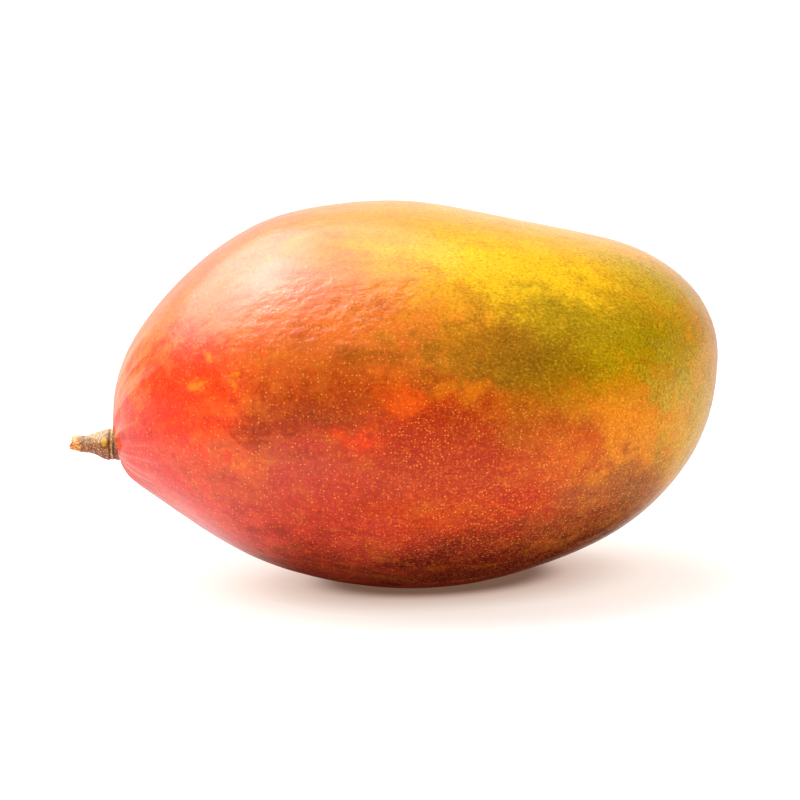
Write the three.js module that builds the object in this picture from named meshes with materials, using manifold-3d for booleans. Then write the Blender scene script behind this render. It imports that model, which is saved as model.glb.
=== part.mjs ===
// A whole ripe mango lying on its cheek, with the short woody stub of the stalk that it hung from.
//
// Millimetres, +Z up. +X runs from the stalk end to the tip. The rounded back of the fruit faces -Y,
// and the belly, with its shallow hollow and small beak near the tip, faces +Y. The part lies on
// z = 0, with the middle of its box over the origin.

import * as THREE from "three";
import { mergeVertices } from "three/addons/utils/BufferGeometryUtils.js";
import Module from "manifold-3d";

const wasm = await Module();
wasm.setup();

// Driving dimensions of the fruit.
const FRUIT_LENGTH = 129;
const FRUIT_HEIGHT = 81.5; // lying on its cheek, before the resting spot is pressed flat
const FRUIT_WIDTH = 90;
const REST_DEPTH = 0.3; // how far the skin is pressed flat where the fruit lies
const CHEEK_FULLNESS = 0.025; // how far the section swells past an ellipse, between its axes

// Driving dimensions of the stalk. It is drawn from its seat on the fruit outwards.
const STALK_LENGTH = 10.9; // what shows of it
const STALK_RADIUS = 3.4;
const ROOT_DEPTH = 2.2; // how far its root is sunk in the fruit
const ROOT_RADIUS = 3;
const STALK_SEAT = { x: 0.7, y: 0.5, z: 29.4 }; // from the stalk end of the fruit and the table
const GAP = 0.3; // between the stalk and the fruit

// Mesh fineness.
const FRUIT_AROUND = 72;
const FRUIT_ALONG = 46;
const STALK_AROUND = 30;

// The fruit's four long lines, at even steps of a half circle drawn over its length, so that the
// sections crowd together at the two round ends. Crest and keel are shares of FRUIT_HEIGHT above
// the table. Back and belly are shares of FRUIT_WIDTH towards -Y and +Y of the long axis.
const CREST = [0.43, 0.58, 0.716, 0.848, 0.95, 0.995, 1.0, 0.965, 0.926, 0.886, 0.813, 0.713, 0.604];
const KEEL = [0.43, 0.306, 0.24, 0.157, 0.073, 0.019, 0.0, 0.027, 0.087, 0.172, 0.288, 0.427, 0.604];
const BACK = [0, 0.135, 0.26, 0.364, 0.445, 0.495, 0.51, 0.494, 0.443, 0.358, 0.245, 0.104, -0.05];
const BELLY = [0, 0.14, 0.262, 0.358, 0.43, 0.474, 0.49, 0.474, 0.43, 0.366, 0.287, 0.196, 0.05];

// Soft swells and hollows, each a round bump along the skin's normal. at is measured from the
// stalk end, the long axis and the table; reach is the bump's radius, and rise its height.
const SWELLS = [
  { name: "stalk pit", at: [0.5, 0.5, 29.4], reach: 5.5, rise: -0.7 },
  { name: "beak", at: [121, 24, 46], reach: 6.5, rise: 1.5 },
  { name: "hollow before the beak", at: [108, 34, 45], reach: 10, rise: -1.1 },
  { name: "dent in the back", at: [76, -41, 58], reach: 15, rise: -0.7 },
  { name: "shoulder swell", at: [36, -26, 70], reach: 16, rise: 0.5 },
  { name: "far cheek hollow", at: [60, 36, 64], reach: 17, rise: -0.6 },
];

// Folds that run out from the stalk over the nose of the fruit.
const FOLDS = { count: 11, rise: 0.28, centre: 8.5, spread: 4.5, twist: 0.35 };

// The stalk's outline: how far out from the seat, and the share of STALK_RADIUS there. Two narrow
// rings stand at its foot, and past its swollen base it thins to a broken end.
const STALK_PROFILE = [
  [0.0, 1.02],
  [0.45, 1.03],
  [0.7, 0.93],
  [1.0, 1.0],
  [1.3, 0.94],
  [1.9, 1.0],
  [3.0, 0.92],
  [4.1, 0.8],
  [5.2, 0.66],
  [6.3, 0.56],
  [7.4, 0.51],
  [8.7, 0.5],
  [10.1, 0.45],
];
const FOOT_REACH = 1.06; // how far the bark of the stalk's foot reaches, as a share of STALK_RADIUS

// The broken end is dished: its rim and its middle lie this far inside STALK_LENGTH. The splinters
// are waves round it that shorten and lengthen the last of the bark.
const BROKEN_END = { rimShare: 0.3, rimDrop: 0.2, middleDrop: 0.5 };
const SPLINTERS = [
  { around: 3, start: 0.5, rise: 0.28 },
  { around: 7, start: 0, rise: 0.2 },
];

// Past this far out the stalk bends up and towards the back of the fruit, by so much per mm squared.
const LEAN = { from: 4.5, up: 0.012, aside: 0.01 };

// Waves of the bark round the stalk, which drift along it. BARK_RISE is a share of the radius.
const BARK_RISE = 0.035;
const BARK_WAVES = [
  { around: 5, along: 1.3, start: 0, share: 1 },
  { around: 3, along: -0.9, start: 1.1, share: 0.8 },
  { around: 1, along: 4, start: 0.6, share: 0.5 },
  { around: 3, along: 0.6, start: -0.6, share: 0.5 },
];
const BUD_SCAR = { out: 2.0, angle: -1.45, halfLength: 0.75, halfAngle: 0.42, rise: 0.28 };

// A smooth curve through evenly spaced values: slope and bend both run on past each of them.
function curveThrough(values) {
  const last = values.length - 1;
  const bend = new Array(last + 1).fill(0);
  const carry = new Array(last + 1).fill(0);
  for (let i = 1; i < last; i++) {
    const pivot = 4 - carry[i - 1];
    carry[i] = 1 / pivot;
    bend[i] = (6 * (values[i + 1] - 2 * values[i] + values[i - 1]) - bend[i - 1]) / pivot;
  }
  for (let i = last - 1; i > 0; i--) bend[i] -= carry[i] * bend[i + 1];
  return (share) => {
    const at = share * last;
    const i = Math.min(Math.floor(at), last - 1);
    const b = at - i;
    const a = 1 - b;
    const curved = ((a ** 3 - a) * bend[i] + (b ** 3 - b) * bend[i + 1]) / 6;
    return a * values[i] + b * values[i + 1] + curved;
  };
}

const crestAt = curveThrough(CREST.map((share) => share * FRUIT_HEIGHT));
const keelAt = curveThrough(KEEL.map((share) => share * FRUIT_HEIGHT));
const backAt = curveThrough(BACK.map((share) => -share * FRUIT_WIDTH));
const bellyAt = curveThrough(BELLY.map((share) => share * FRUIT_WIDTH));

// The point of the smooth body in a direction from its middle: along is the angle from the stalk
// end, and around the angle from +Y towards +Z.
function bodyPoint(along, around) {
  const share = along / Math.PI;
  const [crest, keel, back, belly] = [crestAt(share), keelAt(share), backAt(share), bellyAt(share)];
  const full = 1 + CHEEK_FULLNESS * Math.sin(2 * around) ** 2;
  return new THREE.Vector3(
    (FRUIT_LENGTH / 2) * (1 - Math.cos(along)),
    (back + belly) / 2 + ((belly - back) / 2) * full * Math.cos(around),
    (crest + keel) / 2 + ((crest - keel) / 2) * full * Math.sin(around),
  );
}

// How far the skin stands out from the smooth body at a point of it.
function relief(point) {
  let rise = 0;
  for (const swell of SWELLS) {
    const away = point.distanceTo(new THREE.Vector3(...swell.at)) / swell.reach;
    rise += swell.rise * Math.exp(-away * away);
  }
  const across = point.y - STALK_SEAT.y;
  const up = point.z - STALK_SEAT.z;
  const out = point.distanceTo(new THREE.Vector3(STALK_SEAT.x, STALK_SEAT.y, STALK_SEAT.z));
  const band = Math.exp(-(((out - FOLDS.centre) / FOLDS.spread) ** 2));
  const turn = Math.atan2(up, across) * FOLDS.count + FOLDS.twist * out;
  return rise + FOLDS.rise * band * Math.cos(turn);
}

// A three.js geometry as a solid.
function solidOf(geometry) {
  const bare = geometry.clone();
  for (const name of ["normal", "uv"]) bare.deleteAttribute(name);
  const merged = mergeVertices(bare, 1e-3);
  return new wasm.Manifold(
    new wasm.Mesh({
      numProp: 3,
      vertProperties: new Float32Array(merged.attributes.position.array),
      triVerts: new Uint32Array(merged.index.array),
    }),
  );
}

// A solid as a three.js geometry.
function geometryOf(solid) {
  const mesh = solid.getMesh();
  const geometry = new THREE.BufferGeometry();
  geometry.setAttribute("position", new THREE.BufferAttribute(mesh.vertProperties, 3));
  geometry.setIndex(new THREE.BufferAttribute(mesh.triVerts, 1));
  geometry.computeVertexNormals();
  return geometry;
}

// Moves every vertex of a geometry to where place(vertex) puts it.
function reshape(geometry, place) {
  const position = geometry.attributes.position;
  const vertex = new THREE.Vector3();
  for (let i = 0; i < position.count; i++) {
    vertex.fromBufferAttribute(position, i);
    place(vertex);
    position.setXYZ(i, vertex.x, vertex.y, vertex.z);
  }
  return geometry;
}

// The fruit's skin as a closed surface: a sphere whose poles are the stalk end and the tip.
function fruitSkin() {
  const sphere = new THREE.SphereGeometry(1, FRUIT_AROUND, FRUIT_ALONG).rotateZ(Math.PI / 2);
  reshape(sphere, (v) => {
    const along = Math.acos(THREE.MathUtils.clamp(-v.x, -1, 1));
    v.copy(bodyPoint(along, Math.atan2(v.z, v.y)));
  });
  const body = mergeVertices(sphere.deleteAttribute("normal").deleteAttribute("uv"), 1e-3);
  body.computeVertexNormals();
  const normals = body.attributes.normal;
  let i = 0;
  return reshape(body, (v) => {
    const normal = new THREE.Vector3().fromBufferAttribute(normals, i++);
    v.addScaledVector(normal, relief(v));
  });
}

// A plain cylinder that starts at the stalk's seat, moved along its axis, and points outwards.
function seatCylinder(radius, start, end) {
  return new THREE.CylinderGeometry(radius, radius, end - start, STALK_AROUND)
    .rotateZ(Math.PI / 2)
    .translate(STALK_SEAT.x - (start + end) / 2, STALK_SEAT.y, STALK_SEAT.z);
}

// The fruit with a seat cut for the stalk's foot and its root, and its resting spot cut flat.
function fruit() {
  const clear = STALK_LENGTH / 2; // the cuts run on this far, well out of the skin
  const rim = solidOf(seatCylinder(STALK_RADIUS * FOOT_REACH + GAP, -GAP, clear));
  const socket = solidOf(seatCylinder(ROOT_RADIUS + GAP, -ROOT_DEPTH - GAP, clear));
  const table = solidOf(
    new THREE.BoxGeometry(FRUIT_LENGTH, FRUIT_WIDTH, FRUIT_HEIGHT).translate(
      FRUIT_LENGTH / 2,
      0,
      REST_DEPTH - FRUIT_HEIGHT / 2,
    ),
  );
  return geometryOf(solidOf(fruitSkin()).subtract(rim).subtract(socket).subtract(table));
}

// How far the bark stands out at a place on the stalk, as a share of its radius.
function barkRise(out, angle) {
  let waves = 0;
  for (const { around, along, start, share } of BARK_WAVES) {
    waves += share * Math.cos(around * angle + along * out + start);
  }
  const lengthOff = (out - BUD_SCAR.out) / BUD_SCAR.halfLength;
  const angleOff = (angle - BUD_SCAR.angle) / BUD_SCAR.halfAngle;
  const scar = (BUD_SCAR.rise / STALK_RADIUS) * Math.exp(-((lengthOff ** 2 + angleOff ** 2) ** 2));
  return BARK_RISE * waves * THREE.MathUtils.clamp(out, 0, 1) + scar;
}

// The stalk, with its root, laid along -X from its seat.
function stalk() {
  const profile = [
    new THREE.Vector2(0, -ROOT_DEPTH),
    new THREE.Vector2(ROOT_RADIUS, -ROOT_DEPTH),
    new THREE.Vector2(ROOT_RADIUS, 0),
    ...STALK_PROFILE.map(([out, share]) => new THREE.Vector2(share * STALK_RADIUS, out)),
    new THREE.Vector2(BROKEN_END.rimShare * STALK_RADIUS, STALK_LENGTH - BROKEN_END.rimDrop),
    new THREE.Vector2(0, STALK_LENGTH - BROKEN_END.middleDrop),
  ];
  const turned = new THREE.LatheGeometry(profile, STALK_AROUND);
  const brokenFrom = STALK_PROFILE.at(-2)[0];
  reshape(turned, (v) => {
    const angle = Math.atan2(v.x, v.z);
    const out = v.y;
    if (out > 0) {
      const grown = 1 + barkRise(out, angle);
      v.x *= grown;
      v.z *= grown;
    }
    if (out > brokenFrom) {
      for (const { around, start, rise } of SPLINTERS) v.y += rise * Math.cos(around * angle + start);
    }
  });
  // The lathe turns about +Y, so it is laid along -X before its free half bends.
  turned.rotateZ(Math.PI / 2);
  return reshape(turned, (v) => {
    const out = Math.max(0, -v.x - LEAN.from);
    v.z += LEAN.up * out * out;
    v.y -= LEAN.aside * out * out;
  });
}

function part() {
  const skin = new THREE.MeshStandardMaterial({ color: 0xd8632a, roughness: 0.42, metalness: 0 });
  const bark = new THREE.MeshStandardMaterial({ color: 0x8a6436, roughness: 0.85, metalness: 0 });

  const fruitMesh = new THREE.Mesh(fruit(), skin);
  fruitMesh.name = "fruit";

  const stalkMesh = new THREE.Mesh(stalk(), bark);
  stalkMesh.name = "stalk";
  stalkMesh.position.set(STALK_SEAT.x, STALK_SEAT.y, STALK_SEAT.z);

  const mango = new THREE.Group();
  mango.add(fruitMesh, stalkMesh);

  // The group is moved so that the middle of its box stands over the origin.
  const box = new THREE.Box3().setFromObject(mango);
  const middle = box.getCenter(new THREE.Vector3());
  mango.position.set(-middle.x, -middle.y, -box.min.z);
  return mango;
}

export default part();
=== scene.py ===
"""A whole ripe mango lying on its cheek, with its broken-off stalk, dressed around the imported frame.

Metres, +Z up. +X runs from the stalk end to the tip, and the viewer stands at -Y.
"""

import logging
import math
import random
from collections.abc import Callable, Iterator
from contextlib import contextmanager
from dataclasses import dataclass
from enum import Enum

import bpy
import numpy as np
from mathutils import Matrix, Vector, noise


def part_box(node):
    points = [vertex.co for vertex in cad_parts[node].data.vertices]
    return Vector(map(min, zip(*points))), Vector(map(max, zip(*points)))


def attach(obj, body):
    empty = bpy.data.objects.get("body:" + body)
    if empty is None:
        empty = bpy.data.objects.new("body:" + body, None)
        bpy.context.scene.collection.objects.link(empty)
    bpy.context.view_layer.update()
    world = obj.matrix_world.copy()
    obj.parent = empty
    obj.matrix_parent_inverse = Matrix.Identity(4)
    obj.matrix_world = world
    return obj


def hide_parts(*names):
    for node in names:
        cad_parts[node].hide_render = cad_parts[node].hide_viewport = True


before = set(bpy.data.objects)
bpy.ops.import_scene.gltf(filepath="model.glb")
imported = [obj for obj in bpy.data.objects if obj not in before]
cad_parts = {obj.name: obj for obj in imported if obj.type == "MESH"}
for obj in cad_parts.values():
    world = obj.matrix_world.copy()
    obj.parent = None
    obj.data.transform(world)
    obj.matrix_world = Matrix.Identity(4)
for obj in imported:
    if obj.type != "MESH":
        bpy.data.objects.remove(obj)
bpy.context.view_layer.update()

LOG = logging.getLogger("mango")
MM = 0.001
RAY_START = 0.3
GOLDEN_ANGLE = 2.39996
FULL_TURN = 6.28

Socket = bpy.types.NodeSocket
Piece = bpy.types.Object
Triple = tuple[float, float, float]


class Side(Enum):
    """Where a spot on the skin is seen from: the direction in which its ray is cast."""

    FRONT = (0, 1, 0)
    BACK = (0, -1, 0)
    TOP = (0, 0, -1)
    UNDER = (0, 0, 1)


@dataclass(frozen=True)
class Patch:
    """A soft-edged patch of colour on the skin.

    Args:
        name: What the patch is.
        at: Its middle in millimetres. FRONT and BACK read x and height, TOP and UNDER read x and y.
        size: Its reach along the fruit and across it, in millimetres.
        colour: Its colour, as on a screen.
        strength: How far it covers what lies under it.
        soft: The share of its reach over which it fades out.
        side: The side that it is seen from.
    """

    name: str
    at: tuple[float, float]
    size: tuple[float, float]
    colour: str
    strength: float
    soft: float = 0.9
    side: Side = Side.FRONT


def screen_colour(code: str) -> tuple[float, float, float, float]:
    """Turns a colour as on a screen into the linear light that the shaders mix.

    Args:
        code: Six hexadecimal digits.

    Returns:
        Red, green, blue and an alpha of 1.
    """
    parts = [int(code[i : i + 2], 16) / 255 for i in (0, 2, 4)]
    linear = [p / 12.92 if p <= 0.04045 else ((p + 0.055) / 1.055) ** 2.4 for p in parts]
    return (*linear, 1.0)


def operator(operation: str, swapped: bool = False) -> Callable:
    """Makes the method of an operator, which adds one Math node over its two sides.

    Args:
        operation: The Math node's operation.
        swapped: Whether the plain number stands in front.

    Returns:
        The method.
    """

    def method(self: "Amount", other: "Amount | float") -> "Amount":
        sides = (other, self) if swapped else (self, other)
        node = self.nodes.add("ShaderNodeMath", {"operation": operation}, dict(enumerate(sides)))
        return Amount(self.nodes, node.outputs[0])

    return method


class Amount:
    """A socket that carries a number, whose arithmetic adds Math nodes."""

    def __init__(self, nodes: "Nodes", socket: Socket) -> None:
        """Wraps one output socket of a node tree."""
        self.nodes = nodes
        self.socket = socket

    __add__ = operator("ADD")
    __radd__ = operator("ADD", swapped=True)
    __sub__ = operator("SUBTRACT")
    __rsub__ = operator("SUBTRACT", swapped=True)
    __mul__ = operator("MULTIPLY")
    __rmul__ = operator("MULTIPLY", swapped=True)
    __truediv__ = operator("DIVIDE")
    __rtruediv__ = operator("DIVIDE", swapped=True)


Link = "Amount | Socket | str | float | tuple[float, ...]"


class Nodes:
    """A node tree, with the few ways in which nodes are added to it."""

    def __init__(self, tree: bpy.types.NodeTree) -> None:
        """Wraps the tree of a material or of the world."""
        self.tree = tree

    def add(self, kind: str, settings: dict | None = None, inputs: dict | None = None) -> bpy.types.Node:
        """Adds a node.

        Args:
            kind: The node's type.
            settings: Its properties, which are set first.
            inputs: What goes into its sockets, by name or number: a value or a link.

        Returns:
            The new node.
        """
        node = self.tree.nodes.new(kind)
        for key, value in (settings or {}).items():
            setattr(node, key, value)
        for key, value in (inputs or {}).items():
            self.feed(node.inputs[key], value)
        return node

    def feed(self, socket: Socket, value: Link) -> None:
        """Links a socket to another one, or sets its value, where a text is a colour as on a screen."""
        if isinstance(value, Amount):
            value = value.socket
        if isinstance(value, Socket):
            self.tree.links.new(value, socket)
        else:
            socket.default_value = screen_colour(value) if isinstance(value, str) else value

    def vector(self, operation: str, *values: Link, scale: float | None = None) -> Socket:
        """Adds a Vector Math node over the values and returns the socket of the result."""
        inputs: dict = dict(enumerate(values))
        if scale is not None:
            inputs["Scale"] = scale
        return self.add("ShaderNodeVectorMath", {"operation": operation}, inputs).outputs["Vector"]

    def length(self, value: Link) -> Amount:
        """The length of a vector."""
        node = self.add("ShaderNodeVectorMath", {"operation": "LENGTH"}, {0: value})
        return Amount(self, node.outputs["Value"])

    def drawn_out(self, where: Link, share: float) -> Socket:
        """A place with a smaller share of its x, where noise comes out drawn out along the fruit."""
        return self.vector("MULTIPLY", where, (share, 1.0, 1.0))

    def within(self, where: Link, middle: Vector, reach: tuple, turn: tuple = (0, 0, 0)) -> Socket:
        """A place as seen from the middle of an ellipsoid, whose surface comes out 1 away."""
        inputs = {"Vector": where, "Location": tuple(middle), "Rotation": turn, "Scale": reach}
        return self.add("ShaderNodeMapping", {"vector_type": "TEXTURE"}, inputs).outputs["Vector"]

    def split(self, value: Link, kind: str = "XYZ") -> tuple[Amount, ...]:
        """The three numbers of a vector or, where the kind is Color, of a colour."""
        node = self.add(f"ShaderNodeSeparate{kind}", None, {0: value})
        return tuple(Amount(self, socket) for socket in node.outputs)

    def noise_node(
        self, where: Link, size: float, detail: float = 2.0, rough: float = 0.5, twist: float = 0.0
    ) -> bpy.types.Node:
        """Adds a noise whose swirls are about as large as a size in metres."""
        inputs = {"Vector": where, "Scale": 1 / size, "Detail": detail}
        inputs |= {"Roughness": rough, "Distortion": twist}
        return self.add("ShaderNodeTexNoise", {"noise_dimensions": "3D"}, inputs)

    def noise(self, *values: Link) -> Amount:
        """The value of such a noise."""
        return Amount(self, self.noise_node(*values).outputs["Fac"])

    def step(self, value: Link, start: float, end: float) -> Amount:
        """Adds a smooth step from 0 at start to 1 at end, where start may be the larger."""
        low, high = min(start, end), max(start, end)
        inputs = {"Value": value, "From Min": low, "From Max": high}
        inputs |= {"To Min": float(start > end), "To Max": float(start <= end)}
        node = self.add("ShaderNodeMapRange", {"interpolation_type": "SMOOTHSTEP"}, inputs)
        return Amount(self, node.outputs["Result"])

    def mix(self, amount: Link, under: Link, over: Link, blend: str = "MIX") -> Socket:
        """Blends two colours and returns the socket of the result."""
        settings = {"data_type": "RGBA", "blend_type": blend}
        node = self.add("ShaderNodeMix", settings, {0: amount, 6: under, 7: over})
        return node.outputs[2]

    def layers(self, colour: Link, *layers: tuple) -> Socket:
        """Lays colours over a colour in turn, each given as its amount, itself and maybe its blend."""
        for amount, *over in layers:
            colour = self.mix(amount, colour, *over)
        return colour


class Shader(Nodes):
    """The node tree of one material."""

    def __init__(self, name: str) -> None:
        """Starts a material with a Principled shader.

        Args:
            name: The material's name.
        """
        self.material = bpy.data.materials.new(name)
        self.material.use_nodes = True
        super().__init__(self.material.node_tree)
        self.surface = self.tree.nodes["Principled BSDF"]
        self.place = self.add("ShaderNodeTexCoord").outputs["Object"]

    def set_surface(self, **values: Link) -> None:
        """Feeds sockets of the Principled shader, with spaces in their names written as underscores."""
        for key, value in values.items():
            self.feed(self.surface.inputs[key.replace("_", " ")], value)

    def raise_bump(self, height: Link, strength: float, distance: float) -> None:
        """Feeds the surface's normal with a relief that is too fine for the mesh."""
        inputs = {"Strength": strength, "Distance": distance, "Height": height}
        bump = self.add("ShaderNodeBump", None, inputs)
        self.set_surface(Normal=bump.outputs["Normal"])

    def give_to(self, piece: Piece) -> None:
        """Makes this the only material of a piece."""
        piece.data.materials.clear()
        piece.data.materials.append(self.material)


def start_piece(piece: Piece, name: str) -> Piece:
    """Names a new piece and its mesh."""
    piece.name = name
    piece.data.name = name
    return piece


def deselect() -> None:
    """Leaves edit mode and deselects everything."""
    if bpy.context.object and bpy.context.object.mode != "OBJECT":
        bpy.ops.object.mode_set(mode="OBJECT")
    bpy.ops.object.select_all(action="DESELECT")


def make_active(piece: Piece) -> None:
    """Makes a piece the only one selected, and the active one."""
    deselect()
    piece.select_set(True)
    bpy.context.view_layer.objects.active = piece


@contextmanager
def editing(piece: Piece) -> Iterator[None]:
    """Holds edit mode on one piece, with all of its mesh selected at the start."""
    make_active(piece)
    bpy.ops.object.mode_set(mode="EDIT")
    bpy.ops.mesh.select_all(action="SELECT")
    yield
    bpy.ops.object.mode_set(mode="OBJECT")


def apply_modifier(piece: Piece, kind: str, **settings: object) -> None:
    """Adds a modifier with its settings and applies it."""
    modifier = piece.modifiers.new(kind.lower(), kind)
    for key, value in settings.items():
        setattr(modifier, key, value)
    make_active(piece)
    bpy.ops.object.modifier_apply(modifier=modifier.name)


def add_disc(name: str, sides: int, radius: float, middle: Vector) -> Piece:
    """Adds a filled disc that faces -X."""
    deselect()
    bpy.ops.mesh.primitive_circle_add(
        vertices=sides,
        radius=radius,
        fill_type="NGON",
        location=middle,
        rotation=(0, -math.pi / 2, 0),
    )
    piece = start_piece(bpy.context.object, name)
    bpy.ops.object.transform_apply(location=True, rotation=True, scale=True)
    return piece


def draw_on(move: Vector, deep: float, high: float, **pivot: object) -> None:
    """Extrudes the selected face by a move and resizes its end in y and z."""
    bpy.ops.mesh.extrude_region_move(TRANSFORM_OT_translate={"value": tuple(move)})
    bpy.ops.transform.resize(value=(1, deep, high), **pivot)


def turn_faces_out() -> None:
    """Turns every face of the mesh in edit mode outwards."""
    bpy.ops.mesh.select_all(action="SELECT")
    bpy.ops.mesh.normals_make_consistent(inside=False)


def add_object(name: str, data: bpy.types.ID) -> Piece:
    """Puts a new object with its data in the scene."""
    added = bpy.data.objects.new(name, data)
    bpy.context.scene.collection.objects.link(added)
    return added


def read_rows(piece: Piece, what: str) -> np.ndarray:
    """The mesh's points (co) or the normals at them (normal), one row each."""
    rows = np.empty(len(piece.data.vertices) * 3, np.float32)
    piece.data.vertices.foreach_get(what, rows)
    return rows.reshape(-1, 3).astype(float)


def write_points(piece: Piece, points: np.ndarray) -> None:
    """Puts the mesh's points back."""
    piece.data.vertices.foreach_set("co", points.astype(np.float32).ravel())
    piece.data.update()


PATCHES = (
    # The far side, which the photograph doesn't show, and the underside.
    Patch("green far cheek", (22, 46), (62, 44), "9A9A10", 0.9, 0.8, side=Side.BACK),
    Patch("yellow far shoulder", (-6, 66), (52, 26), "E8AC10", 0.85, side=Side.BACK),
    Patch("red far nose", (-46, 38), (46, 52), "D84020", 0.95, 0.8, side=Side.BACK),
    Patch("orange far belly", (0, 18), (60, 26), "CC6418", 0.85, 0.8, side=Side.BACK),
    Patch("olive underside", (38, 12), (44, 34), "84421A", 0.9, 0.8, side=Side.UNDER),
    Patch("dull red underside", (2, -8), (62, 54), "84180E", 1.0, 0.7, side=Side.UNDER),
    Patch("pink underside", (-42, -12), (36, 42), "D8443C", 0.9, 0.8, side=Side.UNDER),
    # The top, from the stalk end to the tip.
    Patch("golden crown", (24, -6), (64, 46), "EEA80A", 0.95, 0.8, side=Side.TOP),
    Patch("amber crown", (-12, -6), (40, 44), "E88A20", 0.9, side=Side.TOP),
    Patch("coral shoulder", (-40, -8), (44, 50), "E8622A", 1.0, side=Side.TOP),
    Patch("green back of the tip", (52, 68), (32, 14), "C8A41C", 0.9),
    # The near cheek: grounds first, then what lies on them.
    Patch("coral ground", (-34, 60), (38, 26), "E66E3C", 1.0, 0.7),
    Patch("red ground", (6, 16), (66, 30), "9A321C", 1.0, 0.6),
    Patch("brown ground", (48, 21), (22, 18), "8E4C20", 0.85, 0.8),
    Patch("golden cheek", (24, 70), (40, 17), "F4BC04", 0.95, 0.8),
    Patch("olive belt", (40, 56), (44, 20), "A88800", 0.95, 0.8),
    Patch("green tip", (54, 54), (20, 16), "9A8600", 0.85),
    Patch("amber cheek", (8, 58), (30, 16), "DC8A04", 0.8),
    Patch("orange cheek", (-14, 61), (38, 20), "D4641C", 0.95),
    Patch("tangerine blush", (47, 42), (26, 17), "D87C00", 1.0, 1.0),
    Patch("ochre tip", (63, 40), (16, 30), "BE9A2C", 0.85),
    Patch("scarlet nose", (-42, 46), (42, 22), "E43206", 1.0, 0.8),
    # Partly painted highlight: the skin's own coral, made pinker where the highlight lies so as to tint
    # it.
    Patch("coral crown", (-27, 67), (28, 12), "E8744C", 0.75),
    Patch("rust cheek", (-6, 46), (40, 19), "A23A04", 1.0, 0.8),
    Patch("brown blush high", (-20, 55), (20, 10), "A84A10", 0.5),
    Patch("brown shade", (20, 56), (32, 12), "8A5800", 0.85),
    Patch("olive brown", (29, 53), (20, 10), "8A6000", 0.6),
    Patch("brown blush", (-19, 43), (24, 10), "8E2804", 0.75),
    Patch("flame cheek", (9, 46), (17, 10), "CC4200", 0.9),
    Patch("crimson nose", (-50, 28), (46, 24), "C42C22", 1.0, 0.8),
    Patch("crimson cheek", (-10, 26), (56, 22), "B03020", 1.0, 0.7),
    Patch("pink lower nose", (-34, 19), (28, 13), "C8362A", 0.8),
    Patch("brick cheek", (20, 30), (40, 20), "B03202", 0.95, 0.8),
    Patch("brick middle", (12, 40), (30, 11), "A82600", 0.85),
    Patch("orange tail", (35, 38), (15, 14), "C45004", 0.85, 1.0),
    Patch("red tail", (26, 26), (13, 15), "B02A06", 0.85, 1.0),
    Patch("umber middle", (26, 46), (22, 9), "9A4600", 0.5),
    Patch("oxblood tail", (28, 17), (32, 12), "7A2010", 0.75),
    Patch("ochre tail", (44, 22), (34, 18), "80461C", 0.9),
    Patch("rust tail", (39, 24), (16, 11), "9A421C", 0.7),
    # Painted shade: a dark wine band along the bottom of the near cheek.
    Patch("wine hem", (20, 10), (60, 20), "5A0C06", 1.0),
    Patch("orange blur", (-1.5, 52.5), (8, 3.5), "D86810", 0.6),
    # Painted shade: a short dark brown mark across the middle of the near cheek, the shade of a crease.
    Patch("brown fold", (8.5, 52.3), (7.5, 3.0), "8E3A04", 0.7),
    Patch("orange ember", (2.8, 48), (6, 5), "E05200", 0.8),
    Patch("dark ember", (12, 45.3), (9, 5.5), "A02400", 0.7),
    Patch("red ember", (-5.6, 40.6), (8, 5), "DC3404", 0.75),
    Patch("brown smudge", (-14, 43.7), (7, 5), "8A3406", 0.6),
    Patch("amber ember", (14, 50.3), (6.5, 2.8), "D87400", 0.7),
    Patch("yellow fleck high", (-35.2, 55.0), (5.0, 2.6), "FA9408", 0.75),
    Patch("yellow fleck", (-30.0, 52.8), (3.0, 2.2), "FCA810", 0.85),
    Patch("yellow fleck low", (-37.6, 49.8), (3.8, 2.0), "FC8C10", 0.7),
    Patch("sunny spot", (18, 74), (7, 4), "FFCC00", 0.6),
    Patch("sunny speck", (38, 70), (4.5, 3), "FFC400", 0.6),
    Patch("olive smudge", (26.5, 69), (5, 3.2), "A88400", 0.6),
    Patch("blemish", (50.5, 32), (1.7, 1.3), "6B2A14", 0.7),
)


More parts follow.
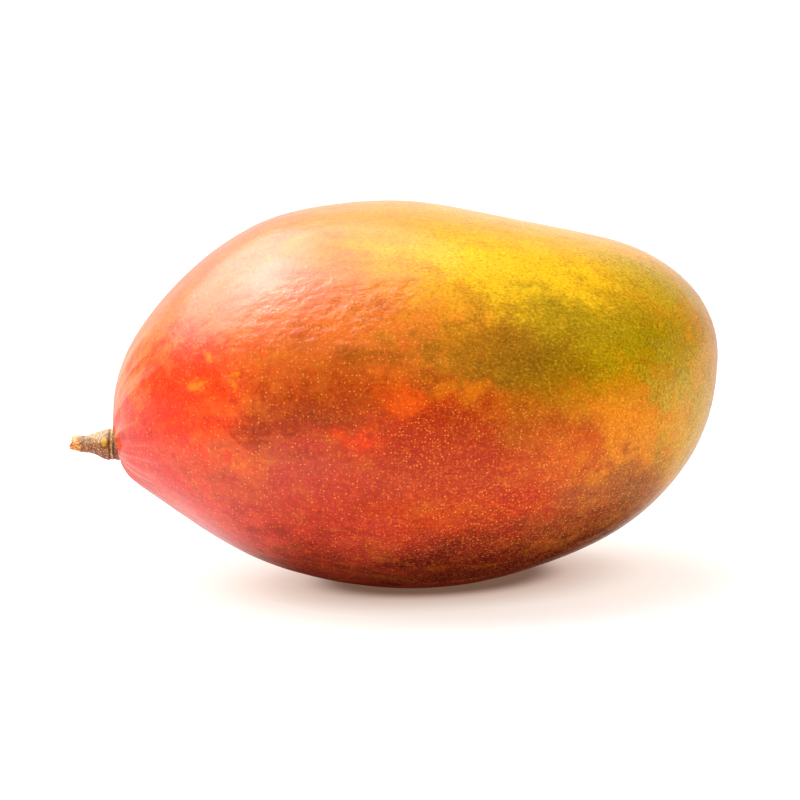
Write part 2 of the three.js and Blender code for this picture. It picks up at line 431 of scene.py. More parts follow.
@dataclass(frozen=True)
class SkinFinish:
    """The waxy skin: patches of colour on a yellow ground, fine mottling, dots and peel grain."""

    ground: str = "E08410"
    ground_clouds: str = "B89408"
    patches: tuple[Patch, ...] = PATCHES
    warps: tuple[tuple[float, float], ...] = ((14 * MM, 6.0 * MM), (4.5 * MM, 3.2 * MM), (MM, 0.7 * MM))
    fray: float = 1.45
    cloud_size: float = 4.5 * MM
    fleck_size: float = 0.46 * MM
    blot_size: float = 1.2 * MM
    ripple_size: float = 2.0 * MM
    pore_size: float = 0.8 * MM
    streak_width: float = 0.11
    dot_spacing: float = 0.74 * MM
    dot_radius: float = 0.21 * MM
    shoulder: tuple[float, float] = (-13.0, 63.5)
    shoulder_reach: Triple = (26 * MM, 12 * MM, 10 * MM)
    shoulder_tilt: float = 8.0
    shoulder_wrinkles: float = 2.7
    roughness: float = 0.21

    def dress(self, skin: "FruitSkin", piece: Piece) -> None:
        """Makes the material and gives it to the skin.

        Args:
            skin: The fruit, which knows where spots on its skin are.
            piece: Its mesh object.
        """
        shader = Shader("waxy_skin")
        moved = self._moved(shader)
        colour = self._patchwork(shader, skin, moved)
        ripe = self._ripeness(shader, colour)
        colour = self._mottle(shader, colour, ripe)
        streaks = self._streaks(shader, skin.stalk_seat)
        colour = self._streak_sheen_shade_and_pucker(shader, colour, streaks, skin.stalk_seat)
        dots, colour = self._dots(shader, colour, ripe)
        shader.set_surface(Base_Color=colour)
        self._gloss(shader)
        self._grain(shader, dots, streaks, skin.spot(Side.FRONT, self.shoulder))
        shader.give_to(piece)

    def _moved(self, shader: Shader) -> Socket:
        """The place from which each point's colour is fetched, so that no patch has an even edge."""
        moved = shader.place
        for size, reach in self.warps:
            swirl = shader.noise_node(shader.place, size, 2, 0.55).outputs["Color"]
            swirl = shader.vector("SUBTRACT", swirl, (0.5, 0.5, 0.5))
            moved = shader.vector("ADD", moved, shader.vector("SCALE", swirl, scale=2 * reach))
        return moved

    def _fray(self, shader: Shader) -> Amount:
        """How far each point's place in a patch is shifted, as a share of the patch's reach."""
        blotches = shader.noise(shader.drawn_out(shader.place, 0.6), 3.6 * MM, 5, 0.68)
        return (blotches - 0.5) * self.fray

    def _patchwork(self, shader: Shader, skin: "FruitSkin", moved: Socket) -> Socket:
        """The amber ground with its greener clouds, and the patches on it in their order, every other
        one frayed the other way."""
        clouds = shader.noise(moved, 22 * MM, 3, 0.55)
        colour = shader.mix(shader.step(clouds, 0.42, 0.62) * 0.5, self.ground, self.ground_clouds)
        fray = self._fray(shader)
        frays = (fray * -1.0, fray)
        for number, patch in enumerate(self.patches):
            along, across = (reach * MM for reach in patch.size)
            middle = skin.spot(patch.side, patch.at)
            LOG.debug("%s at %s", patch.name, tuple(middle))
            away = shader.length(shader.within(moved, middle, (along, across, across)))
            amount = shader.step(away + frays[number % 2], 1.0, 1.0 - patch.soft) * patch.strength
            colour = shader.mix(amount, colour, patch.colour)
        return colour

    def _ripeness(self, shader: Shader, colour: Socket) -> Amount:
        """How red a place is: 0 on the yellow and green, 1 on the orange and red."""
        red, green, _ = shader.split(colour, "Color")
        return shader.step(green / (red + 0.001), 0.52, 0.27)

    def _mottle(self, shader: Shader, colour: Socket, ripe: Amount) -> Socket:
        """Clouds and flecks that lighten and darken the colour, drawn out along the fruit."""
        clouds = shader.noise(shader.drawn_out(shader.place, 0.45), self.cloud_size, 4, 0.62)
        flecks = shader.noise(shader.drawn_out(shader.place, 0.75), self.fleck_size, 2, 0.6)
        blots = shader.noise(shader.place, self.blot_size, 3, 0.65)
        along, _, _ = shader.split(shader.place)
        grainy = ripe * (shader.step(along, -25 * MM, 25 * MM) * 0.24 + 0.17)
        unripe = 1.0 - ripe
        glint = shader.step(flecks, 0.52, 0.70)
        shade = shader.step(flecks, 0.50, 0.32) * (grainy + unripe * 0.66)
        return shader.layers(
            colour,
            (shader.step(clouds, 0.50, 0.25) * 0.22, "8A4A10", "MULTIPLY"),
            (shader.step(clouds, 0.50, 0.75) * 0.10, "FFA800", "SCREEN"),
            (shade, (0.60, 0.42, 0.4, 1), "MULTIPLY"),
            (glint * grainy, (0.34, 0.14, 0.01, 1), "ADD"),
            (glint * unripe * 0.46, (0.40, 0.28, 0.01, 1), "ADD"),
            (shader.step(blots, 0.50, 0.30) * ripe * 0.24, "7C2404"),
            (shader.step(blots, 0.52, 0.72) * ripe * 0.20, "F05C08"),
        )

    def _streaks(self, shader: Shader, seat: Vector) -> Amount:
        """Streaks that run out from the stalk over the nose of the fruit."""
        away = shader.vector("SUBTRACT", shader.place, tuple(seat))
        turn = shader.vector("NORMALIZE", shader.drawn_out(away, 0.0))
        slow = shader.vector("MULTIPLY", away, (5.0, 0.0, 0.0))
        return shader.noise(shader.vector("ADD", turn, slow), self.streak_width, 5, 0.66)

    def _streak_sheen_shade_and_pucker(self, shader: Shader, colour: Socket, streaks: Amount, seat: Vector) -> Socket:
        """Pale streaks near the stalk, a painted sheen on the raised streaks, and deep red ones in the
        grooves between them, a painted shade; and the spotted red pucker and lip beside it.
        """
        away = shader.length(shader.vector("SUBTRACT", shader.place, tuple(seat)))
        _, depth, _ = shader.split(shader.place)
        near = shader.step(away, 56 * MM, 9 * MM) * (shader.step(depth, -28 * MM, -15 * MM) * 0.8 + 0.2)
        pucker = shader.step(away, 9.0 * MM, 5.0 * MM)
        spots = shader.noise(shader.place, 0.9 * MM, 2, 0.55)
        return shader.layers(
            colour,
            # Painted sheen on the raised streaks, and painted shade in the grooves between them.
            (shader.step(streaks, 0.49, 0.66) * near * 0.44, "F49A90"),
            (shader.step(streaks, 0.49, 0.34) * near * 0.6, "B0142A"),
            (pucker * 0.6, "C8262C"),
            (shader.step(spots, 0.54, 0.64) * pucker * 0.75, "8C1224"),
            (shader.step(away, 4.7 * MM, 4.2 * MM) * 0.75, "E08248"),
        )

    def _dots(self, shader: Shader, colour: Socket, ripe: Amount) -> tuple[Amount, Socket]:
        """The skin's dots: pale on the red and orange, dark on the yellow and green, closest at the tip.

        Args:
            shader: The material's shader.
            colour: The colour so far.
            ripe: How red a place is.

        Returns:
            How much of a dot is at a point, and the colour with the dots on it.
        """
        along, _, height = shader.split(shader.place)
        crowding = shader.step(along, -52 * MM, 30 * MM)
        # Painted shade: the pale dots are dimmer towards the bottom of the fruit.
        pale = ripe * (shader.step(height, 5 * MM, 22 * MM) * 0.55 + 0.45)
        spacing, radius = self.dot_spacing, self.dot_radius
        dots = self._dot_layer(shader, spacing, radius, crowding * 0.56 + 0.44)
        fine = self._dot_layer(shader, spacing * 0.68, radius * 0.72, crowding * 0.3 + 0.5)
        colour = shader.layers(
            colour,
            (dots * pale * 0.9, (0.46, 0.25, 0.035, 1), "ADD"),
            (fine * pale * 0.42, (0.46, 0.22, 0.02, 1), "ADD"),
            (dots * (1.0 - ripe) * 0.45, "6A5A00"),
        )
        return dots, colour

    def _dot_layer(self, shader: Shader, spacing: float, radius: float, share: Amount) -> Amount:
        """Dots of uneven brightness, one in some of the cells of a space cut into cells.

        Args:
            shader: The material's shader.
            spacing: The size of a cell, in metres.
            radius: The size of a dot, in metres.
            share: The share of the cells that hold a dot.

        Returns:
            How much of a dot is at a point.
        """
        settings = {"voronoi_dimensions": "3D", "feature": "F1"}
        inputs = {"Vector": shader.place, "Scale": 1 / spacing, "Randomness": 0.75}
        cells = shader.add("ShaderNodeTexVoronoi", settings, inputs).outputs
        edge = radius / spacing
        chance, bright, _ = shader.split(cells["Color"], "Color")
        shown = shader.step(chance - share, 0.04, -0.04)
        return shader.step(cells["Distance"], edge, edge * 0.4) * shown * (bright * 0.55 + 0.35)

    def _gloss(self, shader: Shader) -> None:
        """The wax: what the light does on the skin."""
        patchy = shader.noise(shader.place, 9 * MM, 3, 0.6)
        roughness = patchy * 0.10 + (self.roughness - 0.05)
        shader.set_surface(Roughness=roughness, IOR=1.45, Specular_IOR_Level=0.24)
        shader.set_surface(Coat_Weight=0.12, Coat_Roughness=0.4, Coat_IOR=1.4)

    def _grain(self, shader: Shader, dots: Amount, streaks: Amount, shoulder: Vector) -> None:
        """The peel's relief, too fine for the mesh: ripples, pores and raised dots.

        Args:
            shader: The material's shader.
            dots: How much of a dot is at a point.
            streaks: The streaks round the stalk.
            shoulder: The middle of the most wrinkled part of the skin.
        """
        ripples = shader.noise(shader.drawn_out(shader.place, 0.42), self.ripple_size, 3, 0.5, 0.4)
        pores = shader.noise(shader.place, self.pore_size, 2, 0.6)
        turn = (0.0, -math.radians(self.shoulder_tilt), 0.0)
        near = shader.within(shader.place, shoulder, self.shoulder_reach, turn)
        folds = shader.noise(shader.vector("MULTIPLY", near, (1.0, 0.7, 0.58)), 0.11, 2, 0.5)
        wrinkled = shader.step(shader.length(near), 1.2, 0.5) * self.shoulder_wrinkles
        height = folds * wrinkled + ripples * 0.46 + pores * 0.2 + dots * 0.03 + streaks * 0.2
        shader.raise_bump(height, 0.6, 0.4 * MM)


@dataclass
class FruitSkin:
    """The fruit's skin as one even mesh, laid on the frame's fruit and given its low relief."""

    cuts: int = 127
    merge: float = 0.02 * MM
    smooth_passes: int = 36
    seat_inset: float = 0.7 * MM
    pit_radius: float = 5.2 * MM
    pit_zone: float = 6 * MM
    pit_pull: float = 1.6
    broad_swell: float = 0.25 * MM
    ripple: float = 0.06 * MM
    swell_size: float = 21 * MM
    ripple_size: float = 4.2 * MM
    fold: float = 0.16 * MM
    fold_count: int = 23
    fold_beat: int = 6
    fold_start: float = 3.2
    fold_peak: float = 9.0
    finish: SkinFinish = SkinFinish()

    def __post_init__(self) -> None:
        """Reads the fruit's box and the stalk's seat from the frame."""
        self.low, self.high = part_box("fruit")
        stalk_low, stalk_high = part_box("stalk")
        middle = (stalk_low + stalk_high) / 2
        self.stalk_seat = Vector((self.low.x + self.seat_inset, middle.y, middle.z))

    def build(self) -> Piece:
        """Makes the skin and dresses it.

        Returns:
            The finished piece.
        """
        self.form = self._form()
        piece = self._ball()
        self._lay_on_form(piece)
        self._close_pit(piece)
        self._raise_relief(piece)
        make_active(piece)
        bpy.ops.object.shade_smooth()
        self.finish.dress(self, piece)
        bpy.data.objects.remove(self.form)
        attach(piece, "root")
        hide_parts("fruit")
        return piece

    def spot(self, side: Side, at: tuple[float, float]) -> Vector:
        """Finds a spot on the skin by casting a ray at it from well outside.

        Args:
            side: The side that the spot is seen from.
            at: Its place on that side, in millimetres.

        Returns:
            The point on the skin, in metres.
        """
        first, second = at[0] * MM, at[1] * MM
        ray = Vector(side.value)
        if side in (Side.FRONT, Side.BACK):
            start = Vector((first, 0, second))
        else:
            start = Vector((first, second, (self.low.z + self.high.z) / 2))
        hit, point, _, _ = self.form.ray_cast(start - ray * RAY_START, ray)
        if not hit:
            raise ValueError(f"no skin at {at} from the {side.name.lower()} side")
        return point

    def _form(self) -> Piece:
        """A merged copy of the frame's fruit, on which the skin is laid."""
        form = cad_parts["fruit"].copy()
        form.data = form.data.copy()
        form.parent = None
        bpy.context.scene.collection.objects.link(form)
        start_piece(form, "fruit_form")
        with editing(form):
            bpy.ops.mesh.remove_doubles(threshold=self.merge)
        return form

    def _ball(self) -> Piece:
        """An even ball of quads, drawn out to the fruit's box."""
        deselect()
        bpy.ops.mesh.primitive_cube_add(size=2)
        piece = start_piece(bpy.context.object, "fruit_skin")
        half = (self.high - self.low) / 2
        with editing(piece):
            bpy.ops.mesh.subdivide(number_cuts=self.cuts)
            bpy.ops.transform.tosphere(value=1.0)
            bpy.ops.transform.resize(value=tuple(half), center_override=(0, 0, 0))
            bpy.ops.transform.translate(value=tuple((self.high + self.low) / 2))
        return piece

    def _lay_on_form(self, piece: Piece) -> None:
        """Wraps the ball on the form, and rubs the form's facets out of it."""
        apply_modifier(
            piece,
            "SHRINKWRAP",
            target=self.form,
            wrap_method="TARGET_PROJECT",
            wrap_mode="ON_SURFACE",
        )
        apply_modifier(piece, "SMOOTH", factor=0.5, iterations=self.smooth_passes)

    def _close_pit(self, piece: Piece) -> None:
        """Draws the skin together round the stalk's foot, over the socket of the frame's fruit."""
        points = read_rows(piece, "co")
        across = np.hypot(points[:, 1] - self.stalk_seat.y, points[:, 2] - self.stalk_seat.z)
        near_end = points[:, 0] < self.low.x + self.pit_zone
        share = np.clip(1 - across / self.pit_radius, 0, 1) * near_end
        ease = share * share * (3 - 2 * share)
        points[:, 0] += (self.stalk_seat.x - points[:, 0]) * np.minimum(1, self.pit_pull * ease)
        write_points(piece, points)

    def _raise_relief(self, piece: Piece) -> None:
        """Gives the skin its low swells, its ripples and the folds round the stalk, and keeps it off
        the floor."""
        points = read_rows(piece, "co")
        normals = read_rows(piece, "normal")
        away = np.linalg.norm(points - np.array(self.stalk_seat), axis=1) / MM
        turn = np.arctan2(points[:, 2] - self.stalk_seat.z, points[:, 1] - self.stalk_seat.y)
        waves = np.cos(self.fold_count * turn + 0.5 * np.sin(0.35 * away))
        waves += 0.6 * np.cos((self.fold_count - self.fold_beat) * turn + 2.0 + 0.06 * away)
        fade = np.exp(-((away / self.fold_peak - 1) ** 2)) * np.clip((away - self.fold_start) / 3, 0, 1)
        rise = self.fold * waves * fade
        settle = 1 - np.exp(-((away / 8) ** 2))
        for i, point in enumerate(points):
            spot = Vector(point)
            broad = noise.noise(spot / self.swell_size)
            drawn = Vector((point[0] * 0.55, point[1], point[2])) / self.ripple_size
            small = noise.noise(drawn) + 0.5 * noise.noise(drawn * 2)
            rise[i] += (self.broad_swell * broad + self.ripple * small) * settle[i]
        points += normals * rise[:, None]
        points[:, 2] = np.maximum(points[:, 2], 0)
        write_points(piece, points)


@dataclass(frozen=True)
class BarkFinish:
    """Dry bark, speckled cream, orange and black, with rings at the foot and a yellow bud scar."""

    back: str = "9C8448"
    side: str = "7C4E26"
    belly: str = "70484A"
    ring_lines: tuple[tuple[float, float, str, float], ...] = (
        (0.55, 0.22, "1E1206", 0.9),
        (1.12, 0.22, "D8B468", 0.6),
        (1.62, 0.26, "2A1A08", 0.75),
    )
    scar_colour: str = "C89414"
    tip_colour: str = "D8863A"
    roughness: float = 0.7

    def dress(self, stalk: "Stalk", piece: Piece) -> None:
        """Makes the material and gives it to the bark.

        Args:
            stalk: The stalk, which knows where its seat and its bud scar are.
            piece: Its mesh object.
        """
        shader = Shader("dry_bark")
        away = shader.vector("SUBTRACT", shader.place, tuple(stalk.seat))
        inward, _, height = shader.split(away)
        out = inward * -1.0
        ragged = shader.noise(shader.place, 1.1 * MM, 3, 0.6) - 0.5
        level = height + ragged * (2.0 * MM)
        colour = shader.mix(shader.step(level, 0.0, 2.6 * MM), self.side, self.back)
        under = shader.step(level, -0.2 * MM, -1.6 * MM)
        colour = shader.mix(under * 0.8, colour, self.belly)
        colour = self._speckle(shader, colour, away)
        for where, half, ring, strength in self.ring_lines:
            offset = out + ragged * (0.9 * MM)
            near = shader.step(offset, (where - half) * MM, where * MM)
            near = near * shader.step(offset, (where + half) * MM, where * MM)
            colour = shader.mix(near * strength, colour, ring)
        colour = self._scar(shader, colour, stalk)
        tip = shader.step(out + ragged * (2.0 * MM), 7.6 * MM, 8.8 * MM)
        strands = shader.noise(shader.drawn_out(shader.place, 0.4), 0.4 * MM, 3, 0.6)
        wood = shader.layers(
            self.tip_colour,
            (shader.step(strands, 0.50, 0.62) * 0.7, "F8DC98"),
            (shader.step(strands, 0.46, 0.36) * 0.8, "8A4410"),
        )
        colour = shader.mix(tip * 0.9, colour, wood)
        cracks = shader.noise(shader.place, 0.42 * MM, 3, 0.65)
        shader.set_surface(Base_Color=colour, Roughness=self.roughness, Specular_IOR_Level=0.3)
        shader.raise_bump(cracks, 0.7, 0.12 * MM)
        shader.give_to(piece)

    def _speckle(self, shader: Shader, colour: Socket, away: Socket) -> Socket:
        """Strews orange, black and cream flecks over the bark, each from its own stretch of noise."""
        for shift, size, fleck, strength in (
            (0.0, 0.70, "C87A1E", 0.75),
            (0.3, 0.38, "2C1A0C", 0.8),
            (0.6, 0.30, "F0D8A8", 0.6),
            (0.9, 0.50, "6A4038", 0.5),
            (1.2, 0.34, "D8721C", 0.6),
        ):
            moved = shader.vector("ADD", away, (shift, shift, 0.0))
            grains = shader.noise(moved, size * MM, 2, 0.55)
            colour = shader.mix(shader.step(grains, 0.56, 0.66) * strength, colour, fleck)
        return colour

    def _scar(self, shader: Shader, colour: Socket, stalk: "Stalk") -> Socket:
        """The oval yellow scar of a lost bud, with a brown edge and an olive middle."""
        within = shader.within(shader.place, stalk.scar_middle(), (0.8 * MM, 1.0 * MM, 1.1 * MM))
        rough = shader.noise(shader.place, 0.6 * MM, 2, 0.6) - 0.5
        away = shader.length(within) + rough * 0.9
        return shader.layers(
            colour,
            (shader.step(away, 1.6, 1.0) * 0.8, "6E4408"),
            (shader.step(away, 1.05, 0.75) * 0.9, self.scar_colour),
            (shader.step(away, 0.5, 0.1) * 0.7, "8E7808"),
        )


@dataclass(frozen=True)
class FibreFinish:
    """Torn wood: orange, cream and brown fibres."""

    roughness: float = 0.82

    def dress(self, piece: Piece) -> None:
        """Makes the material and gives it to the fibres."""
        shader = Shader("torn_wood")
        grain = shader.noise(shader.drawn_out(shader.place, 0.35), 0.5 * MM, 3, 0.6)
        blots = shader.noise(shader.place, 0.9 * MM, 2, 0.5)
        colour = shader.layers(
            "D0803A",
            (shader.step(grain, 0.5, 0.6) * 0.85, "F4D6A4"),
            (shader.step(grain, 0.46, 0.36) * 0.85, "7C3C0E"),
            (shader.step(blots, 0.56, 0.68) * 0.7, "C8641E"),
        )
        shader.set_surface(Base_Color=colour, Roughness=self.roughness, Specular_IOR_Level=0.25)
        shader.raise_bump(grain, 0.6, 0.08 * MM)
        shader.give_to(piece)


@dataclass
class Stalk:
    """The broken-off woody stalk: a bark-covered stub, and the torn fibres at its end."""

    radius: float = 3.4 * MM
    root_depth: float = 2.2 * MM
    hidden: float = 1.2 * MM
    around: int = 112
    ring_step: float = 0.15 * MM
    profile: tuple[tuple[float, float], ...] = (
        *((0.0, 1.02), (0.4, 1.03), (0.62, 0.94), (1.0, 1.0), (1.2, 1.0), (1.5, 0.94), (2.0, 0.99)),
        *((3.0, 0.92), (4.1, 0.8), (5.2, 0.66), (6.3, 0.56), (7.4, 0.51), (8.7, 0.48), (9.7, 0.42)),
    )
    end_steps: tuple[tuple[float, float], ...] = ((0.8, 0.05), (0.75, 0.12), (0.66, 0.1), (0.5, 0.05))
    lean_from: float = 4.5
    lean_up: float = 0.012
    lean_aside: float = 0.010
    bark_waves: float = 0.028
    knobs: float = 0.22 * MM
    knob_size: float = 1.5 * MM
    crumbs: float = 0.10 * MM
    crumb_size: float = 0.6 * MM
    scar_out: float = 2.6 * MM
    scar_angle: float = 158.0
    scar_rise: float = 0.30 * MM
    scar_reach: float = 0.95 * MM
    fibre_sides: int = 6
    fibre_steps: tuple[tuple[float, float, float], ...] = (
        (0.35, 1.0, 0.02),
        (0.3, 0.9, -0.02),
        (0.2, 0.8, 0.03),
        (0.15, 0.45, 0.04),
    )
    fibre_count: int = 110
    fibre_seed: int = 7
    fibre_start: float = 8.0 * MM
    fibre_end: float = 10.75 * MM
    fibre_radius: float = 0.17 * MM
    bundle_radius: float = 1.40 * MM
    bark: BarkFinish = BarkFinish()
    fibre: FibreFinish = FibreFinish()

    def __post_init__(self) -> None:
        """Reads the stalk's seat from the frame."""
        low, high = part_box("stalk")
        self.seat = Vector((high.x - self.root_depth, (low.y + high.y) / 2, (low.z + high.z) / 2))

    def build(self) -> list[Piece]:
        """Makes the bark and the fibres and dresses them.

        Returns:
            The finished pieces.
        """
        bark = self._tube()
        self._grow_bark(bark)
        self.bark.dress(self, bark)
        fibres = self._bundle()
        self.fibre.dress(fibres)
        for piece in (bark, fibres):
            make_active(piece)
            bpy.ops.object.shade_smooth()
            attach(piece, "root")
        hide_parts("stalk")
        return [bark, fibres]

    def scar_middle(self) -> Vector:
        """The middle of the bud scar, on the bark."""
        angle = math.radians(self.scar_angle)
        reach = self.radius * 0.98
        return self.seat + Vector((-self.scar_out, math.cos(angle) * reach, math.sin(angle) * reach))

    def _share_at(self, out: float) -> float:
        """The bark's radius at a distance out from the seat, as a share of the foot's."""
        outs, shares = zip(*self.profile)
        return float(np.interp(out / MM, outs, shares))

    def _axis_at(self, out: float) -> Vector:
        """The middle of the stalk at a distance out from the seat, with its lean."""
        past = max(0.0, out / MM - self.lean_from)
        lean = Vector((0, -self.lean_aside * past * past, self.lean_up * past * past)) * MM
        return self.seat + Vector((-out, 0, 0)) + lean

    def _tube(self) -> Piece:
        """A tube drawn out of a disc ring by ring, closed at both ends."""
        out = -self.hidden
        foot_radius = self.radius * self._share_at(out)
        piece = add_disc("stalk_bark", self.around, foot_radius, self._axis_at(out))
        last = self.profile[-1][0] * MM
        with editing(piece):
            while out < last - 1e-6:
                after = min(out + self.ring_step, last)
                move = self._axis_at(after) - self._axis_at(out)
                grow = self._share_at(after) / self._share_at(out)
                draw_on(move, grow, grow, center_override=tuple(self._axis_at(after)))
                out = after
            middle = tuple(self._axis_at(last))
            for share, drop in self.end_steps:
                draw_on(Vector((drop * MM, 0, 0)), share, share, center_override=middle)
            bpy.ops.mesh.merge(type="CENTER")
            turn_faces_out()
        return piece

    def _grow_bark(self, piece: Piece) -> None:
        """Gives the tube its waves, knobs, crumbs, ragged rings and bud scar."""
        points = read_rows(piece, "co")
        normals = read_rows(piece, "normal")
        out = self.seat.x - points[:, 0]
        angle = np.arctan2(points[:, 2] - self.seat.z, points[:, 1] - self.seat.y)
        waves = np.cos(5 * angle + 1.3 * out / MM) + 0.8 * np.cos(3 * angle - 0.9 * out / MM + 1.1)
        scar = (points - np.array(self.scar_middle())) / self.scar_reach
        swell = np.exp(-(np.linalg.norm(scar, axis=1) ** 4))
        rise = self.radius * self.bark_waves * waves + self.scar_rise * swell
        for i, point in enumerate(points):
            drawn = Vector((point[0] * 0.6, point[1], point[2]))
            rise[i] += self.knobs * noise.noise(drawn / self.knob_size)
            spot = Vector(point) / self.crumb_size
            rise[i] += self.crumbs * (noise.noise(spot) + 0.5 * noise.noise(spot * 2))
        rise *= np.clip(out / (0.8 * MM), 0, 1)
        write_points(piece, points + normals * rise[:, None])

    def _one_fibre(self) -> Piece:
        """One splinter of wood, 1 mm long along -X: thick, then thinning to a torn point."""
        fibre = add_disc("splinter", self.fibre_sides, self.fibre_radius, Vector())
        with editing(fibre):
            for step, grow, rise in self.fibre_steps:
                draw_on(Vector((-step * MM, rise * MM, 0.5 * rise * MM)), grow, grow * 0.95)
            turn_faces_out()
        return fibre

    def _bundle(self) -> Piece:
        """The torn end: copies of one splinter, packed side by side and broken at uneven lengths."""
        rng = random.Random(self.fibre_seed)
        first = self._one_fibre()
        pieces = []
        for i in range(self.fibre_count):
            share = math.sqrt((i + 0.5) / self.fibre_count)
            angle = i * GOLDEN_ANGLE
            across = Vector((0, math.cos(angle), math.sin(angle))) * self.bundle_radius * share
            start = self._axis_at(self.fibre_start) + across * 1.04
            low_side = 0.5 - 0.5 * math.sin(angle) * share
            reach = self.fibre_end - self.fibre_start - (0.85 - 0.85 * low_side) * MM
            reach -= rng.uniform(0.0, 0.5) * MM + 0.2 * MM * (1 - share)
            lean = self._axis_at(self.fibre_start + reach) - self._axis_at(self.fibre_start)
            copy = first.copy()
            copy.data = first.data.copy()
            bpy.context.scene.collection.objects.link(copy)
            width = rng.uniform(0.75, 1.25)
            copy.scale = (reach / MM, width, width)
            splay = Vector((0, rng.uniform(-0.06, 0.06), rng.uniform(-0.06, 0.06)))
            turn = (lean.normalized() + splay - across * 30).to_track_quat("-X", "Z")
            spin = Matrix.Rotation(rng.uniform(0, FULL_TURN), 3, "X").to_quaternion()
            copy.rotation_euler = (turn @ spin).to_euler()
            copy.location = start
            pieces.append(copy)
        bpy.data.objects.remove(first)
        make_active(pieces[0])
        for piece in pieces:
            piece.select_set(True)
        bpy.ops.object.join()
        bundle = start_piece(bpy.context.object, "stalk_fibres")
        bpy.ops.object.transform_apply(location=True, rotation=True, scale=True)
        return bundle


@dataclass(frozen=True)
class Panel:
    """A light panel of the studio, which either lights the fruit or is only mirrored in its wax.

    Args:
        name: The light's name.
        place: Its middle, in metres.
        size: Its width and depth, in metres.
        brightness: How brightly its face shines, where 1 is white.
        turn: How far a mirrored one is turned about the upright, in degrees.
        mirrored: Whether it is mirrored and lights nothing.
    """

    name: str
    place: Triple
    size: tuple[float, float]
    brightness: float
    turn: float = 0.0
    mirrored: bool = True


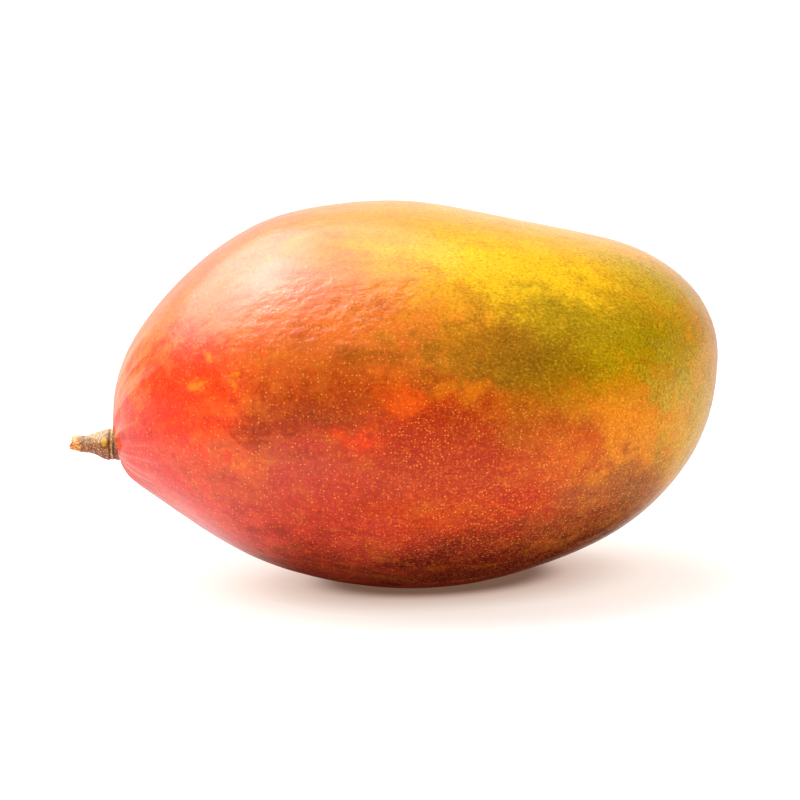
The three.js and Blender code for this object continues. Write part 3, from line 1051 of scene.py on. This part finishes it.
@dataclass
class Stage:
    """The white floor with its painted shadow, its glow and its painted reflection, the soft studio
    light and the camera.
    """

    floor_size: float = 16.0
    camera_distance: float = 474 * MM
    camera_height_angle: float = 12.0
    camera_target: Triple = (1.9 * MM, 0.0, 39.05 * MM)
    lens: float = 100.0
    sensor_width: float = 36.0
    # Where the shadow painted on the floor lies, how far it reaches and how it is turned.
    painted_shadow_middle: Triple = (10 * MM, 0.0, 0.0)
    painted_shadow_reach: Triple = (50 * MM, 28 * MM, 1.0)
    painted_shadow_turn: float = 15.0
    lit_height: float = 40 * MM
    sky_strength: float = 1.1
    sky_spread: float = 100.0
    sky_tilt: float = 12.0
    room_dim: float = 0.06
    room_bright: float = 0.95
    seen_white: float = 1.1
    panels: tuple[Panel, ...] = (
        Panel("soft_ceiling", (-0.42, 0.14, 0.66), (1.05, 1.15), 4.2, mirrored=False),
        Panel("front_fill", (0.25, -1.3, 0.55), (1.2, 0.7), 0.5, mirrored=False),
        Panel("wash", (-0.85, 0.45, 0.66), (1.43, 1.32), 4.2, 25.0),
        Panel("fringe", (-0.45, 0.25, 0.66), (1.21, 1.10), 2.5, 0.0),
        Panel("softbox_edge", (-0.48, 0.05, 0.66), (1.14, 0.99), 3.0, 12.0),
        Panel("softbox", (-0.47, 0.06, 0.66), (0.92, 0.77), 4.5, 12.0),
        Panel("softbox_middle", (-0.33, 0.08, 0.66), (0.70, 0.62), 8.0, 12.0),
        Panel("softbox_inner", (-0.32, 0.12, 0.66), (0.60, 0.52), 14.0, 12.0),
        Panel("softbox_core", (-0.39, 0.19, 0.66), (0.38, 0.36), 33.0, 40.0),
    )

    def build(self) -> None:
        """Makes the floor, the lights, the world and the camera."""
        self._floor()
        self._world()
        for panel in self.panels:
            self._hang(panel)
        self._skylight()
        self._camera()

    def _floor(self) -> None:
        """A white floor with a glow of its own. In it the camera sees a painted shadow, pale and warm
        round the fruit and dark at the contact; for diffuse rays it glows like a lamp on the underside
        of the fruit; and the wax mirrors a painted reflection of only what lies near."""
        deselect()
        bpy.ops.mesh.primitive_plane_add(size=self.floor_size)
        floor = start_piece(bpy.context.object, "floor")
        shader = Shader("floor_with_painted_shadow")
        turn = (0, 0, math.radians(self.painted_shadow_turn))
        away = shader.length(shader.within(shader.place, self.painted_shadow_middle, self.painted_shadow_reach, turn))
        # Painted shadow: the colour the camera sees in the floor's glow, dark at the contact and pale
        # and warm round the fruit.
        colour = shader.layers(
            (0.16, 0.09, 0.06, 1),
            (shader.step(away, 0.40, 0.62), (0.54, 0.38, 0.31, 1)),
            (shader.step(away, 0.42, 1.0), (0.86, 0.75, 0.68, 1)),
            (shader.step(away, 0.8, 2.1), (1.0, 0.98, 0.97, 1)),
        )
        ray = shader.add("ShaderNodeLightPath").outputs
        # Glowing floor: for diffuse rays the floor glows, dim near the fruit and bright beyond, and
        # lights the fruit's underside like a lamp.
        fill = shader.mix(shader.step(away, 0.5, 3.0), (0.2, 0.17, 0.15, 1), (1.9, 1.8, 1.75, 1))
        colour = shader.mix(ray["Is Diffuse Ray"], colour, fill)
        # Painted reflection: for glossy rays the floor's glow is dark except for bright patches at the
        # left, in a ring near the fruit and behind it, which the wax mirrors.
        along, depth, _ = shader.split(shader.place)
        reach = shader.length(shader.place)
        left = shader.step(along, -0.02, -0.06) * shader.step(reach, 0.17, 0.11)
        close = shader.step(reach, 0.20, 0.09) * shader.step(reach, 0.055, 0.085) * 0.8
        mirrored = shader.layers(
            (0.0, 0.0, 0.0, 1),
            (close, (0.75, 0.62, 0.52, 1)),
            (left, (1.8, 1.72, 1.7, 1)),
            (shader.step(depth, -0.01, 0.025), (0.7, 0.66, 0.64, 1)),
        )
        colour = shader.mix(ray["Is Glossy Ray"], colour, mirrored)
        # The floor's own colour is darker for glossy rays, so the wax mirrors the painted reflection
        # more than the lit floor.
        white = shader.mix(ray["Is Glossy Ray"], (0.32, 0.305, 0.295, 1), (0.08, 0.08, 0.08, 1))
        shader.set_surface(Base_Color=white, Roughness=0.9, Specular_IOR_Level=0.1)
        shader.set_surface(Emission_Color=colour, Emission_Strength=1.0)
        shader.give_to(floor)

    def _world(self) -> None:
        """A room that is white where it is seen, bright behind the fruit and dim before it."""
        world = bpy.data.worlds.new("studio")
        bpy.context.scene.world = world
        world.use_nodes = True
        nodes = Nodes(world.node_tree)
        _, depth, _ = nodes.split(nodes.add("ShaderNodeTexCoord").outputs["Generated"])
        glow = nodes.step(depth, 0.5, 0.95) * (self.room_bright - self.room_dim) + self.room_dim
        seen = nodes.add("ShaderNodeLightPath").outputs["Is Camera Ray"]
        inputs = {0: seen, 2: glow, 3: self.seen_white}
        choice = nodes.add("ShaderNodeMix", {"data_type": "FLOAT"}, inputs)
        background = nodes.tree.nodes["Background"]
        nodes.feed(background.inputs["Color"], (1, 1, 1, 1))
        nodes.feed(background.inputs["Strength"], choice.outputs[0])

    def _hang(self, panel: Panel) -> None:
        """Hangs a light panel: one that lights faces the fruit, and a mirrored one is a level oval."""
        light = bpy.data.lights.new(panel.name, "AREA")
        light.shape = "ELLIPSE" if panel.mirrored else "RECTANGLE"
        light.size, light.size_y = panel.size
        area = panel.size[0] * panel.size[1] * (math.pi / 4 if panel.mirrored else 1.0)
        light.energy = panel.brightness * math.pi * area
        lamp = add_object(panel.name, light)
        lamp.location = panel.place
        lamp.visible_camera = False
        lamp.visible_glossy = panel.mirrored
        lamp.visible_diffuse = not panel.mirrored
        lamp.rotation_euler = (0, 0, math.radians(panel.turn))
        if not panel.mirrored:
            aim = Vector((0, 0, self.lit_height)) - Vector(panel.place)
            lamp.rotation_euler = aim.to_track_quat("-Z", "Y").to_euler()

    def _skylight(self) -> None:
        """An even light from overhead that leaves no reflection of its own."""
        light = bpy.data.lights.new("skylight", "SUN")
        light.angle = math.radians(self.sky_spread)
        light.energy = self.sky_strength
        lamp = add_object("skylight", light)
        lamp.rotation_euler = (math.radians(self.sky_tilt), 0, 0)
        lamp.visible_glossy = False

    def _camera(self) -> None:
        """The camera, where the photographer stood."""
        target = Vector(self.camera_target)
        angle = math.radians(self.camera_height_angle)
        back = Vector((0, -math.cos(angle), math.sin(angle)))
        data = bpy.data.cameras.new("camera")
        data.lens = self.lens
        data.sensor_width = self.sensor_width
        data.clip_start = 0.01
        camera = add_object("camera", data)
        camera.location = target + back * self.camera_distance
        camera.rotation_euler = (-back).to_track_quat("-Z", "Y").to_euler()
        bpy.context.scene.camera = camera


def main() -> None:
    """Builds the pieces in order and reports each one."""
    logging.basicConfig(level=logging.INFO, format="%(name)s: %(message)s")
    bpy.context.scene.view_settings.view_transform = "Standard"
    Stage().build()
    skin = FruitSkin().build()
    LOG.info("%s: %d faces", skin.name, len(skin.data.polygons))
    for piece in Stalk().build():
        LOG.info("%s: %d faces", piece.name, len(piece.data.polygons))


if __name__ == "__main__":
    main()
